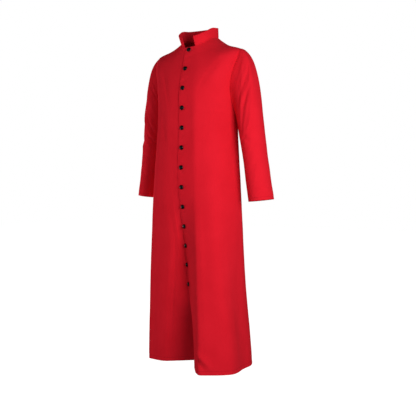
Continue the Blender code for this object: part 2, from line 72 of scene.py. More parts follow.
# s: way up the body; zf zs zb: level at front, side and back; ex ey: left
# front's edge; fx fy: right front's edge where it hangs free; ax ay ra: fold
# line down the left front and its radius; mx my: left side front; w wr:
# half width, left and right; sy: side line; rb: side radius; bx by rr: fold
# line down the right front; px py: right side front; nx ny, dx dy: back;
# cb: centre back
COLS = ("s zf zs zb ex ey fx fy ax ay ra mx my w sy rb bx by rr px py wr "
        "nx ny dx dy cb").split()
ROWS = (
 (0.000, -1.321, -1.330, -1.321,  0.101, -0.192,  0.000, -0.050,  0.144, -0.227, 0.020,  0.259, -0.137, 0.225,
  0.000, 0.050,  0.088, -0.124, 0.030,  0.204, -0.116, 0.192,  0.180, 0.121,  0.108, 0.184, 0.172),
 (0.160, -1.159, -1.159, -1.159,  0.056, -0.138,  0.000, -0.066,  0.121, -0.200, 0.026,  0.230, -0.126, 0.208,
  0.000, 0.048,  0.080, -0.121, 0.032,  0.201, -0.115, 0.189,  0.174, 0.112,  0.101, 0.166, 0.156),
 (0.327, -0.990, -0.990, -0.990, -0.003, -0.085, -0.003, -0.083,  0.099, -0.175, 0.022,  0.192, -0.122, 0.190,
  0.000, 0.046,  0.068, -0.118, 0.034,  0.196, -0.115, 0.185,  0.166, 0.101,  0.096, 0.149, 0.140),
 (0.491, -0.826, -0.826, -0.826, -0.007, -0.105, -0.007, -0.103,  0.087, -0.160, 0.019,  0.168, -0.118, 0.186,
  0.008, 0.034,  0.056, -0.127, 0.034,  0.190, -0.116, 0.182,  0.154, 0.094,  0.092, 0.133, 0.125),
 (0.717, -0.600, -0.600, -0.600, -0.010, -0.139, -0.010, -0.137,  0.069, -0.140, 0.017,  0.142, -0.105, 0.176,
  0.014, 0.026,  0.072, -0.140, 0.026,  0.172, -0.120, 0.170,  0.139, 0.089,  0.086, 0.117, 0.110),
 (0.877, -0.440, -0.440, -0.440, -0.009, -0.140, -0.009, -0.138,  0.067, -0.139, 0.017,  0.130, -0.098, 0.168,
  0.014, 0.024,  0.067, -0.139, 0.026,  0.158, -0.117, 0.162,  0.133, 0.087,  0.083, 0.113, 0.105),
 (1.017, -0.300, -0.300, -0.300, -0.009, -0.137, -0.009, -0.135,  0.065, -0.135, 0.019,  0.126, -0.096, 0.162,
  0.012, 0.026,  0.065, -0.135, 0.028,  0.148, -0.112, 0.158,  0.136, 0.085,  0.083, 0.112, 0.103),
 (1.130, -0.205, -0.165, -0.190, -0.009, -0.132, -0.009, -0.130,  0.064, -0.129, 0.026,  0.134, -0.097, 0.172,
  0.002, 0.040,  0.064, -0.129, 0.034,  0.152, -0.106, 0.170,  0.154, 0.084,  0.085, 0.110, 0.103),
 (1.240, -0.120, -0.059, -0.085, -0.010, -0.108, -0.010, -0.106,  0.060, -0.104, 0.034,  0.148, -0.080, 0.1935,
  0.004, 0.034,  0.060, -0.104, 0.034,  0.148, -0.080, 0.1935,  0.150, 0.076,  0.080, 0.098, 0.097),
 (1.310, -0.077, -0.0365, -0.032, -0.010, -0.0945, -0.010, -0.0925,  0.052, -0.088, 0.028,  0.108, -0.064, 0.132,
  0.004, 0.028,  0.052, -0.088, 0.028,  0.104, -0.064, 0.127,  0.110, 0.062,  0.062, 0.086, 0.088),
 (1.370, -0.045, -0.001,  0.010, -0.010, -0.0840, -0.010, -0.0820,  0.036, -0.079, 0.020,  0.064, -0.050, 0.070,
  0.002, 0.020,  0.034, -0.077, 0.018,  0.062, -0.048, 0.066,  0.064, 0.050,  0.040, 0.071, 0.075),
)

# the body's largest soft folds: s from, s to, t at the low end, t at the high
# end, half width in t, height (a minus sign is a trough)
BODY_FOLDS = (
    # s0     s1     t0     t1    half   height
    (-0.20, 0.86,   4.60,  4.90, 0.85,  0.0030),
    (-0.20, 0.62,   7.70,  7.40, 0.80,  0.0030),
    (-0.20, 0.50,   9.00,  8.90, 0.70, -0.0070),
    (-0.20, 0.70,  10.20, 10.10, 0.75,  0.0080),
    (-0.20, 0.56,  11.50, 11.40, 0.70, -0.0070),
    (-0.20, 0.66,  12.60, 12.70, 0.70,  0.0070),
    (-0.20, 0.52,  13.80, 13.70, 0.75, -0.0060),
    (-0.20, 0.84,  18.10, 18.30, 0.90,  0.0035),
    (0.62,  0.98,   5.60,  6.60, 0.80, -0.0030),
    (0.66,  1.02,   9.30,  8.20, 0.90, -0.0040),
    (0.64,  1.00,  12.80, 13.90, 0.90, -0.0035),
)

# the left arm below the armhole: level, axis x and y, half widths across and
# fore and aft; the right arm mirrors it
ARM_COLS = "z x y rx ry".split()
ARM_ROWS = (
    (-0.420, 0.2415, 0.016, 0.0485, 0.060),
    (-0.500, 0.2545, 0.018, 0.0465, 0.058),
    (-0.580, 0.2650, 0.020, 0.0475, 0.058),
    (-0.659, 0.2775, 0.021, 0.0485, 0.058),
)
ARM_TILT = 0.12           # a cuff's outer side stands higher than its inner
RIGHT_ARM_RISE = 0.011    # the right arm is held this much higher at the cuff

# creases on a sleeve: way down it at one end and at the other, angle round it
# at each (0 underarm, 90 front, 180 outer), half width in way, height
SLEEVE_FOLDS = {
    "left": (
        # u0    u1    a0    a1   half   height
        (0.08, 0.34, 120,   80, 0.040,  0.0030),
        (0.14, 0.42, 140,   70, 0.040, -0.0035),
        (0.20, 0.47, 150,   85, 0.045,  0.0035),
        (0.44, 0.56,  60,  130, 0.035, -0.0030),
        (0.12, 0.40, 230,  290, 0.045, -0.0035),
        (0.50, 0.60, 250,  310, 0.040, -0.0030),
    ),
    "right": (
        (0.26, 0.36, 150,   95, 0.030, -0.0032),
        (0.32, 0.43, 150,   95, 0.028,  0.0030),
        (0.44, 0.56, 165,   95, 0.035, -0.0035),
        (0.52, 0.61, 150,   80, 0.035,  0.0028),
        (0.14, 0.42, 230,  290, 0.045, -0.0035),
        (0.48, 0.60, 250,  310, 0.040, -0.0030),
    ),
}

# mesh counts
FRONT_COLUMNS = 13
BACK_COLUMNS = 18
LAP_COLUMNS = (21.2, 21.7, 22.0, 22.4, 23.0)
ARMHOLE_STEPS = 12
SLEEVE_AROUND = 20
SLEEVE_CAP_STEPS = 10
SLEEVE_DOWN_STEPS = 7
COLLAR_COLUMNS = 40
COLLAR_STEPS = 3
BUTTON_AROUND = 22

# colours: linear base colour, roughness, metallic
CLOTH_LOOK = ((0.560, 0.012, 0.020, 1.0), 0.52, 0.0)
BUTTON_LOOK = ((0.006, 0.006, 0.007, 1.0), 0.12, 0.0)

T_SIDE_L, T_BACK, T_SIDE_R, T_FREE, T_END = 7.0, 11.0, 15.0, 22.0, 23.0
S_TOP = ROWS[-1][0]


# ---------------------------------------------------------------- the body's surface
def second_derivatives(x, y):
    """Of the natural cubic spline through the rows."""
    n = len(x)
    a = np.zeros((n, n))
    r = np.zeros((n,) + y.shape[1:])
    a[0, 0] = a[-1, -1] = 1.0
    for i in range(1, n - 1):
        h0, h1 = x[i] - x[i - 1], x[i + 1] - x[i]
        a[i, i - 1], a[i, i], a[i, i + 1] = h0, 2 * (h0 + h1), h1
        r[i] = 6 * ((y[i + 1] - y[i]) / h1 - (y[i] - y[i - 1]) / h0)
    return np.linalg.solve(a, r)


class Table:
    """Rows of named columns, read at any value of the first column."""

    def __init__(self, cols, rows):
        self.cols = cols
        self.rows = np.array(rows, float)
        if self.rows[0, 0] > self.rows[-1, 0]:
            self.rows = self.rows[::-1]
        self.bend = second_derivatives(self.rows[:, 0], self.rows)

    def at(self, v):
        v = np.atleast_1d(np.asarray(v, float))
        x, y = self.rows[:, 0], self.rows
        i = np.clip(np.searchsorted(x, v) - 1, 0, len(x) - 2)
        h = x[i + 1] - x[i]
        a = (x[i + 1] - v) / h
        b = 1 - a
        out = (a[:, None] * y[i] + b[:, None] * y[i + 1]
               + ((a ** 3 - a)[:, None] * self.bend[i] + (b ** 3 - b)[:, None] * self.bend[i + 1])
               * (h ** 2)[:, None] / 6)
        return dict(zip(self.cols, out.T))


BODY = Table(COLS, ROWS)
ARM = Table(ARM_COLS, ARM_ROWS)


def points(x, y, z):
    return np.stack([x + 0 * z, y + 0 * z, z], axis=1)


def plan_unit(v):
    v = v * np.array([1.0, 1.0, 0.0])
    return v / np.linalg.norm(v, axis=1, keepdims=True)


def toward(p, q, d):
    """The point d from p on the way to q, in plan."""
    return p + (q - p) * (d / np.linalg.norm((q - p)[:, :2], axis=1))[:, None]


def smooth(x):
    x = np.clip(x, 0, 1)
    return x * x * (3 - 2 * x)


def corners(s):
    """The section's corners, in order, from the left front's edge."""
    c = BODY.at(s)
    zf, zs, zb = c["zf"], c["zs"], c["zb"]

    def level(k, z):
        return zs + (z - zs) * k

    flip = np.array([-1, 1, 1])
    edge = points(c["ex"], c["ey"], zf)
    fold = points(c["ax"], c["ay"], level(0.94, zf))
    side = points(c["mx"], c["my"], level(0.55, zf))
    back = points(c["nx"], c["ny"], level(0.55, zb))
    blade = points(c["dx"], c["dy"], level(0.94, zb))
    left = [edge, (edge + fold) / 2, toward(fold, edge, c["ra"]), fold, toward(fold, side, c["ra"]), side,
            points(c["w"], c["sy"] - c["rb"], level(0.10, zf)), points(c["w"], c["sy"], zs),
            points(c["w"], c["sy"] + c["rb"], level(0.10, zb)), back, blade, points(0 * s, c["cb"], zb)]
    fold_r = points(-c["bx"], c["by"], level(0.94, zf))
    side_r = points(-c["px"], c["py"], level(0.55, zf))
    along = plan_unit(fold - edge)
    inward = np.stack([-along[:, 1], along[:, 0], 0 * s], axis=1)
    under = edge + inward * (CLOTH + LAP_GAP)
    apart = smooth((OPEN_SKIRT_S + 0.02 - s) / 0.16)[:, None]
    under = under + (points(c["fx"], c["fy"], zf) - under) * apart
    way = plan_unit(along + (plan_unit(under - fold_r) - along) * apart)
    end = under + way * LAP + inward * 0.0010
    half_way = (fold_r + under) / 2
    knee = under + (2 * under - half_way - end) / 4     # so that the curve runs through `under`
    right = [blade * flip, back * flip, points(-c["wr"], c["sy"] + c["rb"], level(0.10, zb)),
             points(-c["wr"], c["sy"], zs), points(-c["wr"], c["sy"] - c["rb"], level(0.10, zf)), side_r,
             toward(fold_r, side_r, c["rr"]), fold_r, toward(fold_r, under, c["rr"]), half_way, knee, end]
    return np.stack(left + right, axis=1)


def curve_at(corner, t):
    """Uniform cubic B-spline with its ends on the first and last corner."""
    k = corner.shape[1]
    ends = [2 * corner[:, :1] - corner[:, 1:2], corner, 2 * corner[:, -1:] - corner[:, -2:-1]]
    corner = np.concatenate(ends, axis=1)
    i = np.clip(np.floor(t).astype(int), 0, k - 2)
    f = t - i
    w = np.stack([(1 - f) ** 3, 3 * f ** 3 - 6 * f ** 2 + 4, -3 * f ** 3 + 3 * f ** 2 + 3 * f + 1, f ** 3], axis=1) / 6
    row = np.arange(len(t))
    return sum(w[:, j:j + 1] * corner[row, i + j] for j in range(4))


def plain_body(s, t):
    s, t = (np.asarray(a, float).ravel() for a in (s, t))
    levels, which = np.unique(s, return_inverse=True)
    return curve_at(corners(levels)[which], t)


def surface_normal(f, s, t, s_max, t_max):
    s, t = (np.asarray(a, float).ravel() for a in (s, t))
    up = f(np.clip(s + 0.004, 0, s_max), t) - f(np.clip(s - 0.004, 0, s_max), t)
    across = f(s, np.clip(t + 0.01, 0, t_max)) - f(s, np.clip(t - 0.01, 0, t_max))
    n = np.cross(across, up)
    return n / np.linalg.norm(n, axis=1, keepdims=True)


def fold_height(s, t, folds):
    h = np.zeros(len(s))
    for s0, s1, t0, t1, half, height in folds:
        k = (s - s0) / (s1 - s0)
        inside = (k > 0) & (k < 1)
        line = t0 + (t1 - t0) * np.clip(k, 0, 1)
        along = np.where(inside, np.sin(math.pi * np.clip(k, 0, 1)) ** 0.8, 0.0)
        h += height * along * np.exp(-((t - line) / half) ** 2 * 2.2)
    return h


def body(s, t):
    s, t = (np.asarray(a, float).ravel() for a in (s, t))
    n = surface_normal(plain_body, s, t, S_TOP, T_END)
    calm = smooth((t - 1.6) / 1.4) * smooth((20.4 - t) / 1.4)
    return plain_body(s, t) + n * (fold_height(s, t, BODY_FOLDS) * calm)[:, None]


def body_normal(s, t):
    return surface_normal(body, s, t, S_TOP, T_END)


def armhole_t(s):
    """How far the armhole reaches from the side seam at s: front, back."""
    k = np.clip(1 - ((s - (ARM_LOW + ARM_TOP) / 2) / ((ARM_TOP - ARM_LOW) / 2)) ** 2, 0, 1) ** 0.5
    return ARM_FRONT * k ** 0.85, ARM_BACK * k ** 0.85


def armhole(angle):
    """s and t round the left armhole: 0 underarm, 90 degrees front, 180 top."""
    s = (ARM_LOW + ARM_TOP) / 2 - (ARM_TOP - ARM_LOW) / 2 * np.cos(angle)
    k = np.sin(angle)
    return s, T_SIDE_L - np.where(k >= 0, ARM_FRONT, ARM_BACK) * np.sign(k) * np.abs(k) ** 0.85


def t_gap(s, t):
    """Half a seam gap, in t."""
    step = 0.02
    d = np.linalg.norm(plain_body(s, np.clip(t + step, 0, T_END)) - plain_body(s, np.clip(t - step, 0, T_END)), axis=1)
    return SEAM / 2 * 2 * step / d


# ---------------------------------------------------------------- sleeves
def sleeve_surface(u, angle, side):
    """u 0 at the armhole to 1 at the cuff; angle as in armhole()."""
    cap = 0.5                                       # share of u above the first arm row
    top_z, low_z = ARM_ROWS[0][0], ARM_ROWS[-1][0] + (RIGHT_ARM_RISE if side == "right" else 0)
    inset = 0.0008
    shrink = 1 - inset / 0.11
    s, t = armhole(angle)
    s = (ARM_LOW + ARM_TOP) / 2 + (s - (ARM_LOW + ARM_TOP) / 2) * shrink
    t = T_SIDE_L + (t - T_SIDE_L) * (1 - inset / 0.045)
    if side == "left":
        start = plain_body(s, t)
    else:                                           # shaped on the left, then mirrored
        start = plain_body(s, T_SIDE_L + T_SIDE_R - t) * np.array([-1, 1, 1])

    def ring(z):
        c = ARM.at(z)
        x = -c["rx"] * np.cos(angle)
        y = -c["ry"] * np.sin(angle)
        return np.stack([c["x"] + x, c["y"] + y, z + x * ARM_TILT], axis=1)

    z1 = 0 * angle + top_z
    end = ring(z1)
    slope = (ring(z1 - 0.02) - ring(z1)) / 0.02
    far = np.linalg.norm(end - start, axis=1)
    lift = (1 - np.cos(angle)) / 2                  # 0 underarm, 1 top
    out = np.stack([0 * angle + 1.0, -0.08 * np.sin(angle), CAP_LOW_RISE + (CAP_TOP_RISE - CAP_LOW_RISE) * lift], axis=1)
    out = out / np.linalg.norm(out, axis=1, keepdims=True)
    k = np.clip(u / cap, 0, 1)
    h = [2 * k ** 3 - 3 * k ** 2 + 1, k ** 3 - 2 * k ** 2 + k, -2 * k ** 3 + 3 * k ** 2, k ** 3 - k ** 2]
    reach = CAP_LOW_REACH + (CAP_TOP_REACH - CAP_LOW_REACH) * lift
    cap_point = (h[0][:, None] * start + (h[1] * reach)[:, None] * out + h[2][:, None] * end
                 + (h[3] * CAP_END * far)[:, None] * slope)
    down = ring(top_z + (low_z - top_z) * np.clip((u - cap) / (1 - cap), 0, 1))
    p = np.where((u < cap)[:, None], cap_point, down)
    if side == "right":
        p = p * np.array([-1, 1, 1])
    return p


def sleeve_normal(u, angle, side, f=None):
    f = f or sleeve_surface
    a = f(np.clip(u + 0.01, 0, 1), angle, side) - f(np.clip(u - 0.01, 0, 1), angle, side)
    b = f(u, angle + 0.02, side) - f(u, angle - 0.02, side)
    n = np.cross(a, b) if side == "left" else np.cross(b, a)
    return n / np.linalg.norm(n, axis=1, keepdims=True)


def sleeve(u, angle, side):
    n = sleeve_normal(u, angle, side)
    h = np.zeros(len(u))
    for u0, u1, a0, a1, half, height in SLEEVE_FOLDS[side]:
        mid = math.radians((a0 + a1) / 2)
        reach = abs(math.radians(a1 - a0)) / 2 + 0.35
        d = (angle - mid + math.pi) % (2 * math.pi) - math.pi
        k = np.clip((d / math.radians(a1 - a0)) + 0.5, -0.3, 1.3)
        line = u0 + (u1 - u0) * k
        h += height * np.exp(-((u - line) / half) ** 2 * 1.5) * np.cos(np.clip(d / reach, -1, 1) * math.pi / 2) ** 2
    calm = smooth((u - 0.03) / 0.09) * smooth((0.98 - u) / 0.10)
    return sleeve_surface(u, angle, side) + n * (h * calm)[:, None]


# ---------------------------------------------------------------- collar
def neck_t(x):
    """t on the left and right of the neckline's front where its x is x."""
    t = np.linspace(0, T_END, 2301)
    p = plain_body(0 * t + S_TOP, t)
    front = p[:, 1] < -0.02
    left = front & (t < T_SIDE_L)
    right = front & (t > T_SIDE_R) & (t < T_FREE)
    return (t[left][np.argmin(abs(p[left, 0] - x))], t[right][np.argmin(abs(p[right, 0] - x))])


def collar_surface(h, t):
    base = plain_body(0 * t + S_TOP, t)
    tangent = base - plain_body(0 * t + S_TOP - 0.004, t)
    tangent = tangent / np.linalg.norm(tangent, axis=1, keepdims=True)
    start = base + tangent * COLLAR_SEAM
    k = smooth((base[:, 1] + 0.085) / 0.16)
    height = COLLAR_FRONT_H + (COLLAR_BACK_H - COLLAR_FRONT_H) * k
    away = plan_unit(base)
    rise = np.stack([0 * t, 0 * t - COLLAR_LEAN * h, height * h], axis=1)
    return start + rise + away * COLLAR_FLARE * h


def button_place(z):
    """Where a button sits on the left front at the level z, and which way it faces."""
    s = np.linspace(0, S_TOP, 2741)
    s = s[np.argmin(abs(BODY.at(s)["zf"] - z))]
    t = np.linspace(0, 2, 401)
    p = plain_body(0 * t + s, t)
    run = np.concatenate([[0], np.cumsum(np.linalg.norm(np.diff(p, axis=0), axis=1))])
    t = t[np.argmin(abs(run - EDGE_TO_BUTTON))]
    return body([s], [t])[0], body_normal([s], [t])[0]


# ---------------------------------------------------------------- finer cloth
# small creases on the body, as BODY_FOLDS, listed one by one
BODY_CREASES = (
    # s0     s1     t0     t1    half   height
    (-0.10, 0.70,   3.90,  3.80, 0.40,  0.0014),
    (0.02,  0.52,   5.40,  5.20, 0.36, -0.0014),
    (0.30,  0.95,   4.60,  5.20, 0.42,  0.0012),
    (0.55,  0.93,   6.60,  6.20, 0.34, -0.0014),
    (0.88,  1.08,   4.10,  6.00, 0.34, -0.0012),
    (1.08,  1.24,   3.30,  5.20, 0.46, -0.0012),
    (-0.10, 0.60,  19.60, 19.50, 0.30, -0.0016),
    (0.02,  0.70,  18.70, 18.90, 0.46,  0.0012),
    (-0.10, 0.46,  17.60, 17.50, 0.32, -0.0018),
    (0.30,  0.80,  17.20, 16.80, 0.46,  0.0010),
    (0.84,  1.12,  18.90, 16.90, 0.44, -0.0014),
    (1.02,  1.22,  19.30, 17.60, 0.40, -0.0022),
    (0.60,  0.90,   8.20,  9.90, 0.36, -0.0020),
    (0.66,  0.97,  13.90, 12.20, 0.34, -0.0018),
    (0.98,  1.20,   9.70, 10.40, 0.42,  0.0016),
    (1.00,  1.22,  12.40, 11.80, 0.40,  0.0015),
    (-0.10, 0.50,   8.30,  8.20, 0.34,  0.0018),
    (-0.10, 0.40,  10.90, 10.80, 0.30, -0.0018),
    (-0.10, 0.44,  13.20, 13.10, 0.34,  0.0018),
    (-0.10, 0.72,   8.90,  9.20, 0.34, -0.0036),
    (-0.10, 0.60,   9.80,  9.60, 0.30,  0.0032),
    (-0.12, 0.84,  11.60, 11.20, 0.36,  0.0036),
    (-0.10, 0.66,  12.30, 12.00, 0.30, -0.0034),
    (-0.08, 0.58,  14.10, 13.80, 0.32, -0.0032),
    (0.70,  1.00,  10.30,  9.30, 0.42, -0.0032),
    (0.72,  1.02,  11.80, 12.80, 0.40, -0.0030),
    (0.78,  1.06,   8.40,  8.90, 0.36,  0.0022),
)
SLEEVE_CREASES = {
    "left": (
        # u0     u1     a0    a1   half   height
        (0.060, 0.130, 140,   90, 0.020,  0.0012),
        (0.145, 0.225, 140,   85, 0.020, -0.0026),
        (0.190, 0.265, 146,   90, 0.016,  0.0016),
        (0.225, 0.305, 142,   85, 0.020, -0.0018),
        (0.270, 0.420, 132,   98, 0.030, -0.0026),
        (0.330, 0.470, 140,   95, 0.026,  0.0018),
        (0.440, 0.520, 112,   60, 0.020, -0.0018),
        (0.500, 0.600, 150,  100, 0.026, -0.0010),
        (0.640, 0.740, 145,   95, 0.030, -0.0010),
        (0.720, 0.860, 130,  100, 0.034,  0.0008),
        (0.100, 0.300, 236,  290, 0.022, -0.0020),
        (0.210, 0.400, 240,  296, 0.020,  0.0016),
        (0.440, 0.510, 236,  300, 0.018, -0.0018),
        (0.580, 0.680, 230,  290, 0.024,  0.0012),
    ),
    "right": (
        (0.120, 0.136, 104,   58, 0.012, -0.0022),
        (0.140, 0.148, 104,   58, 0.010,  0.0014),
        (0.163, 0.156, 108,   60, 0.012, -0.0022),
        (0.220, 0.260, 125,   70, 0.020,  0.0010),
        (0.300, 0.360, 128,   60, 0.018,  0.0024),
        (0.335, 0.395, 124,   52, 0.018, -0.0034),
        (0.375, 0.440, 122,   60, 0.016,  0.0026),
        (0.405, 0.490, 108,   48, 0.020, -0.0036),
        (0.360, 0.386, 166,  124, 0.014, -0.0022),
        (0.470, 0.550, 112,   60, 0.020,  0.0018),
        (0.560, 0.640, 130,   70, 0.022, -0.0016),
        (0.720, 0.800, 135,   75, 0.025, -0.0012),
        (0.100, 0.330, 236,  292, 0.022, -0.0020),
        (0.230, 0.430, 240,  296, 0.020,  0.0016),
        (0.460, 0.540, 240,  300, 0.018, -0.0018),
    ),
}

FINE_ROWS_LOW, FINE_ROWS_ARM, FINE_ROWS_TOP = 150, 46, 16
FRONT_FINE, BACK_FINE = 104, 116
SLEEVE_FINE_AROUND, SLEEVE_FINE_DOWN = 88, 110
COLLAR_FINE, COLLAR_FINE_UP = 150, 12
HEM_DEPTH, CUFF_DEPTH = 0.015, 0.012    # turned-up hem and cuff, to the stitch line
SEAM_TURN = 0.005                       # how deep a seam allowance shows from inside
SEAM_LAP = 0.005                        # and how far the front's lies under the back
HEM_EXTRA = 0.0009                      # the turned-up layer, on the inside


def soft_noise(a, b, size, seed):
    """Smooth irregular unevenness from -1 to 1 on a surface's own coordinates, in metres."""
    return np.array([noise.noise(Vector((x / size, y / size, seed))) for x, y in zip(a, b)])


def fine_levels():
    low = np.linspace(0, 1, FINE_ROWS_LOW + 1)[:-1] * ARM_LOW
    low = np.concatenate([[0.0, 0.0012, 0.004], low[1:]])
    angle = np.linspace(0, math.pi, FINE_ROWS_ARM + 1)
    beside = (ARM_LOW + ARM_TOP) / 2 - (ARM_TOP - ARM_LOW) / 2 * np.cos(angle)
    above = np.linspace(ARM_TOP, S_TOP, FINE_ROWS_TOP + 1)[1:]
    return np.concatenate([low, beside, above])


def button_levels():
    s = np.linspace(0, S_TOP, 2741)
    z = BODY.at(s)["zf"]
    return [float(s[np.argmin(abs(z - (BUTTON_TOP_Z - BUTTON_PITCH * i)))]) for i in range(BUTTON_COUNT)]


def front_scallop(s, t):
    """The left front's edge lifts a little between the buttons. Outward only."""
    levels = sorted(button_levels())
    h = np.zeros(len(s))
    for i, (a, b) in enumerate(zip(levels[:-1], levels[1:])):
        k = np.clip((s - a) / (b - a), 0, 1)
        h += np.sin(math.pi * k) ** 2 * (0.0013 + 0.0007 * math.sin(2.3 * i + 0.4))
    return h * np.clip(1 - t / 1.3, 0, 1) ** 1.5


def button_pull(s, across, up):
    """Each button draws the cloth in round it, with a small pull to either side."""
    h = np.zeros(len(s))
    for i, level in enumerate(button_levels()):
        near = abs(s - level) < 0.004
        if not near.any():
            continue
        above = up - np.interp(level, s[near][np.argsort(s[near])], up[near][np.argsort(s[near])])
        beside = across - EDGE_TO_BUTTON
        h -= 0.0009 * np.exp(-(above ** 2 + beside ** 2) / 0.010 ** 2)
        tip = 0.004 * math.sin(1.7 * i + 0.5)
        h += (0.0013 * np.sin((above + tip) * 2 * math.pi / 0.026) * np.exp(-(above / 0.016) ** 2)
              * np.exp(-(beside / (0.022 + 0.006 * math.sin(2.9 * i))) ** 2) * smooth(across / 0.006))
    return h


CURL_ACROSS, CURL_UP, CURL_LENGTH, CURL_HALF, CURL_HEIGHT = 0.082, 0.055, 0.034, 0.011, 0.0085


def corner_curl(across, up):
    """The left front's lower corner curls along a short slanting line."""
    a, b = across - CURL_ACROSS, up - CURL_UP
    along, off = a * 0.65 - b * 0.76, a * 0.76 + b * 0.65
    ridge = np.exp(-(off / CURL_HALF) ** 2) - 0.6 * np.exp(-((off + 2 * CURL_HALF) / CURL_HALF) ** 2)
    return CURL_HEIGHT * ridge * np.exp(-(along / CURL_LENGTH) ** 2)


def run_along(grid, axis):
    """Distance along a grid's rows or columns, in metres."""
    d = np.linalg.norm(np.diff(grid, axis=axis), axis=2)
    pad = [(0, 0), (0, 0)]
    pad[axis] = (1, 0)
    return np.pad(np.cumsum(d, axis=axis), pad)


def shell(name, outer, inner, uv, ring=False, flip=False):
    """A closed thin wall with smooth faces and a UV map in metres."""
    rows, cols = outer.shape[:2]
    if flip:
        outer, inner, uv = outer[::-1], inner[::-1], uv[::-1]
    wide = cols + 1 if ring else cols
    if ring:
        turn = 2 * uv[:, -1:] - uv[:, -2:-1]
        outer_uv = np.concatenate([uv, turn], axis=1)
    else:
        outer_uv = uv
    n = rows * cols
    verts = np.concatenate([outer.reshape(-1, 3), inner.reshape(-1, 3)])
    i, j = np.meshgrid(np.arange(rows - 1), np.arange(wide - 1), indexing="ij")
    i, j = i.ravel(), j.ravel()
    k = (j + 1) % cols
    out_faces = np.stack([i * cols + j, i * cols + k, (i + 1) * cols + k, (i + 1) * cols + j], axis=1)
    corner = [outer_uv[i, j], outer_uv[i, j + 1], outer_uv[i + 1, j + 1], outer_uv[i + 1, j]]
    out_uv = np.stack(corner, axis=1)
    in_faces = out_faces[:, ::-1] + n
    in_uv = out_uv[:, ::-1]
    faces, face_uv = [out_faces, in_faces], [out_uv, in_uv]
    j = np.arange(wide - 1)
    k = (j + 1) % cols
    for row, turn in ((0, False), (rows - 1, True)):
        q = np.stack([row * cols + j, n + row * cols + j, n + row * cols + k, row * cols + k], axis=1)
        u = np.stack([outer_uv[row, j], outer_uv[row, j], outer_uv[row, j + 1], outer_uv[row, j + 1]], axis=1)
        faces.append(q[:, ::-1] if turn else q)
        face_uv.append(u[:, ::-1] if turn else u)
    if not ring:
        i = np.arange(rows - 1)
        for col, turn in ((0, True), (cols - 1, False)):
            q = np.stack([i * cols + col, n + i * cols + col, n + (i + 1) * cols + col, (i + 1) * cols + col], axis=1)
            u = np.stack([outer_uv[i, col], outer_uv[i, col], outer_uv[i + 1, col], outer_uv[i + 1, col]], axis=1)
            faces.append(q[:, ::-1] if turn else q)
            face_uv.append(u[:, ::-1] if turn else u)
    faces = np.concatenate(faces)
    face_uv = np.concatenate(face_uv)
    mesh = bpy.data.meshes.new(name)
    mesh.from_pydata(verts.tolist(), [], faces.tolist())
    mesh.update()
    layer = mesh.uv_layers.new(name="metres")
    layer.data.foreach_set("uv", face_uv.reshape(-1).astype(np.float32))
    mesh.polygons.foreach_set("use_smooth", np.ones(len(mesh.polygons), bool))
    # the wall's rims keep a crisp turn
    rim = len(out_faces) * 2
    sharp = np.zeros(len(mesh.edges), bool)
    rim_edges = {tuple(sorted(e)) for p in mesh.polygons[rim:] for e in p.edge_keys}
    for e in mesh.edges:
        if tuple(sorted(e.vertices)) in rim_edges:
            a, b = e.vertices
            if (a < n) == (b < n):
                sharp[e.index] = True
    attribute = mesh.attributes.new("sharp_edge", "BOOLEAN", "EDGE")
    attribute.data.foreach_set("value", sharp)
    obj = bpy.data.objects.new(name, mesh)
    bpy.context.scene.collection.objects.link(obj)
    return obj


